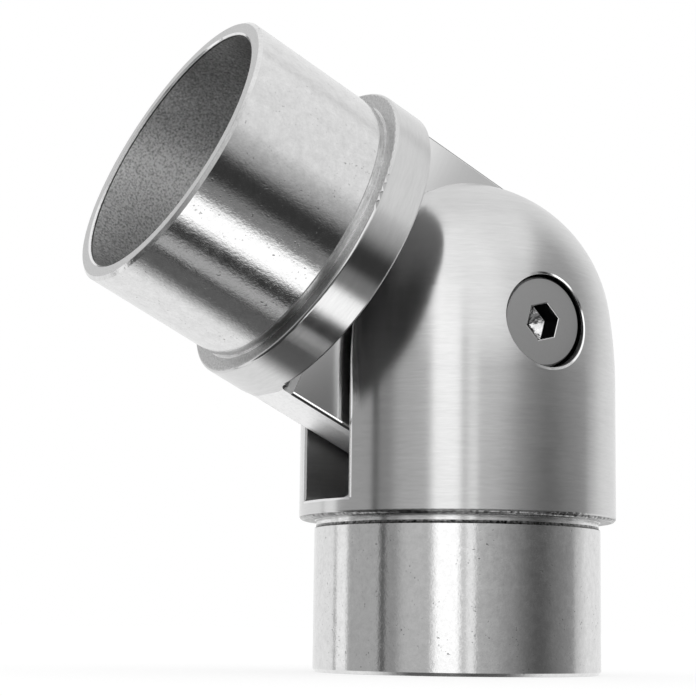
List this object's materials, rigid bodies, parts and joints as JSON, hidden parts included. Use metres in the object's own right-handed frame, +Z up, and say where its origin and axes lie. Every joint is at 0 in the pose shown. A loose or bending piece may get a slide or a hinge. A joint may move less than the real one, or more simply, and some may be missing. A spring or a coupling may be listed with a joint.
{
  "type": "hinged tube connector",
  "caption": "Adjustable elbow for round handrail tube: a forked half and a tongued half, each with a plug-in spigot, turn on a clamped pivot.",
  "frame": {"origin": "centre of the lower spigot's end face", "axes": "+Z up along the fork half, Y along the pivot with the front screw's head on the -Y side, the tongue half leans towards -X"},
  "size_m": [0.0835, 0.0482, 0.0941],
  "materials": {
    "casting_steel": "satin stainless steel, fine turned lines round the axis, rough cast hollows",
    "fastener_steel": "matt stainless steel, dull grey head face",
    "washer_steel": "plain stamped stainless steel"
  },
  "bodies": {
    "fork": {"fork_body": "casting_steel", "pivot_sleeve": "fastener_steel", "front_pivot_screw": "fastener_steel", "rear_pivot_screw": "fastener_steel", "front_spring_washer": "washer_steel", "rear_spring_washer": "washer_steel", "front_friction_washer": "washer_steel", "rear_friction_washer": "washer_steel"},
    "tongue": {"tongue_body": "casting_steel"}
  },
  "joints": [
    {"name": "fold", "type": "hinge", "parent": "fork", "child": "tongue", "pos_m": [0, 0, 0.0511], "axis": [0, -1, 0], "range_deg": [-155, 25]}
  ]
}
